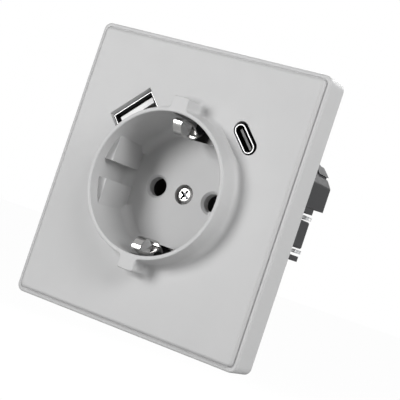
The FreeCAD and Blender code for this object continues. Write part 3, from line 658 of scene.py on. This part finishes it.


# Port tongues
# The type A tongue and its block are moulded in white, the type C ones in black plastic with a
# steel-grey tip. Both are painted darker deep in the port, a painted shade where little light
# comes.
tongue_white = (0.80, 0.80, 0.80)
tongue_white_flow = (0.72, 0.72, 0.72)
# painted shade: the tongues' colours deep in the port
tongue_white_painted_shade = (0.45, 0.45, 0.45)
tongue_white_fade = (-6.5, 0.0)
tongue_black_tip = (0.13, 0.13, 0.13)
tongue_black_flow = (0.08, 0.08, 0.08)
tongue_black_painted_shade = (0.03, 0.03, 0.03)
tongue_black_fade = (-8.75, -8.65)
tongue_flow = 1.2
tongue_grain = 0.12
tongue_grain_depth = 0.003


def port_plastic(name, light, dark, dullness, shade_colour, fade):
    """Plastic whose colour goes over to a painted shade colour between two depths in the port.
    """
    finish = Finish(name)
    flow = finish.noise(tongue_flow, detail=3.0)
    grain = finish.noise(tongue_grain, detail=1.0)
    depth = finish.axes()[1].rise(*fade)
    colour = finish.mix(depth, finish.mix(flow, light, dark), shade_colour)
    return finish.surface(Base_Color=colour, Roughness=flow * 0.15 + dullness,
                          Normal=finish.bump(grain, tongue_grain_depth, 0.4))


dress(["usb_a_tongue"], port_plastic("tongue_white", tongue_white, tongue_white_flow, 0.3,
                                     tongue_white_painted_shade, tongue_white_fade))
dress(["usb_c_tongue"], port_plastic("tongue_black", tongue_black_tip, tongue_black_flow, 0.4,
                                     tongue_black_painted_shade, tongue_black_fade))


# Contact strips of the ports
# Gilt spring contacts lie on the type A tongue, four in a row, and flat ones on both faces of
# the type C tongue, twelve a face. Each is a stamped strip pressed into the moulded plastic.
gilt_colour = (0.62, 0.56, 0.42)
gilt_dull = (0.45, 0.41, 0.32)
gilt_polish = 0.2
gilt_cloud = 0.8
nose_drop = 0.5
nose_taper = (0.6, 1.0, 0.6)
strip_edge = 0.2
usb_a_strip = {"length": 6.0, "width": 1.1, "thickness": 0.24, "nose": 0.35, "turn": -45.0}
usb_a_strip_places = (-3.5, -1.0, 1.0, 3.5)
usb_a_strip_front = -6.8
usb_a_strip_lift = 0.275
usb_c_strip = {"length": 3.5, "width": 0.26, "thickness": 0.08, "nose": 0.0001, "turn": 45.0}
usb_c_strip_count = 12
usb_c_strip_pitch = 0.5
usb_c_strip_front = -8.2
usb_c_strip_lift = 0.35


def gilt_plate():
    finish = Finish("gilt_plate")
    cloud = finish.noise(gilt_cloud)
    colour = finish.mix(cloud, gilt_colour, gilt_dull)
    return finish.surface(Base_Color=colour, Metallic=1.0,
                          Roughness=cloud * 0.15 + gilt_polish)


def contact_strip(name, side, reach, front, length, width, thickness, nose, turn):
    """One contact lying along a tongue, with its nose bent down onto the plastic."""
    middle = Vector((side, front + length / 2, reach))
    bpy.ops.mesh.primitive_cube_add(size=1.0, location=middle * mm)
    strip = bpy.context.object
    strip.scale = (width * mm, length * mm, thickness * mm)
    bpy.ops.object.transform_apply(location=False, rotation=False, scale=True)
    bpy.ops.object.mode_set(mode="EDIT")
    pick(strip, lambda x, y, z: y < front + pick_slack, "FACE")
    bpy.ops.mesh.extrude_region_move(
        TRANSFORM_OT_translate={"value": (0, -nose * mm, nose * nose_drop * mm)})
    bpy.ops.transform.resize(value=nose_taper)
    edit_all()
    bpy.ops.mesh.bevel(offset=thickness * strip_edge * mm, segments=1, affect="EDGES")
    settle(strip, name, gilt_material, "socket_body", turn=turn)


gilt_material = gilt_plate()
for i, place in enumerate(usb_a_strip_places):
    contact_strip("usb_a_contact_%d" % (i + 1), usb_a_side + place,
                  usb_a_reach + usb_a_strip_lift, usb_a_strip_front, **usb_a_strip)
for i in range(usb_c_strip_count):
    side = usb_c_side + (i - (usb_c_strip_count - 1) / 2) * usb_c_strip_pitch
    for face, sign in (("inner", -1), ("outer", 1)):
        contact_strip("usb_c_contact_%d_%s" % (i + 1, face), side,
                      usb_c_reach + sign * usb_c_strip_lift, usb_c_strip_front, **usb_c_strip)


# Charger board and what stands on it
# A lacquered green board carries a ferrite transformer with a taped winding, two sleeved
# capacitors and a chip. The closed housing hides them.
board_green = (0.012, 0.10, 0.035)
board_pale = (0.02, 0.15, 0.05)
board_weave = 0.5
board_polish = 0.25
hidden_mouldings = {  # node: material, its two colours, its dullness and its spots' size
    "transformer_core": ("ferrite", (0.03, 0.03, 0.032), (0.06, 0.06, 0.06), 0.5, 0.6),
    "transformer_coil": ("yellow_tape", (0.75, 0.52, 0.06), (0.62, 0.42, 0.05), 0.25, 3.0),
    "charger_capacitors": ("black_sleeve", (0.02, 0.02, 0.03), (0.04, 0.04, 0.05), 0.3, 2.0),
    "charger_chip": ("black_resin", (0.02, 0.02, 0.02), (0.035, 0.035, 0.035), 0.5, 0.4),
}


def lacquered_board():
    finish = Finish("lacquered_board")
    weave = finish.noise(board_weave, detail=3.0)
    colour = finish.mix(weave, board_green, board_pale)
    return finish.surface(Base_Color=colour, Roughness=weave * 0.1 + board_polish)


def plain_moulding(name, light, dark, dullness, spot):
    finish = Finish(name)
    cloud = finish.noise(spot, detail=3.0)
    colour = finish.mix(cloud, light, dark)
    return finish.surface(Base_Color=colour, Roughness=cloud * 0.15 + dullness)


dress(["charger_board"], lacquered_board())
for node_name, look in hidden_mouldings.items():
    dress([node_name], plain_moulding(*look))
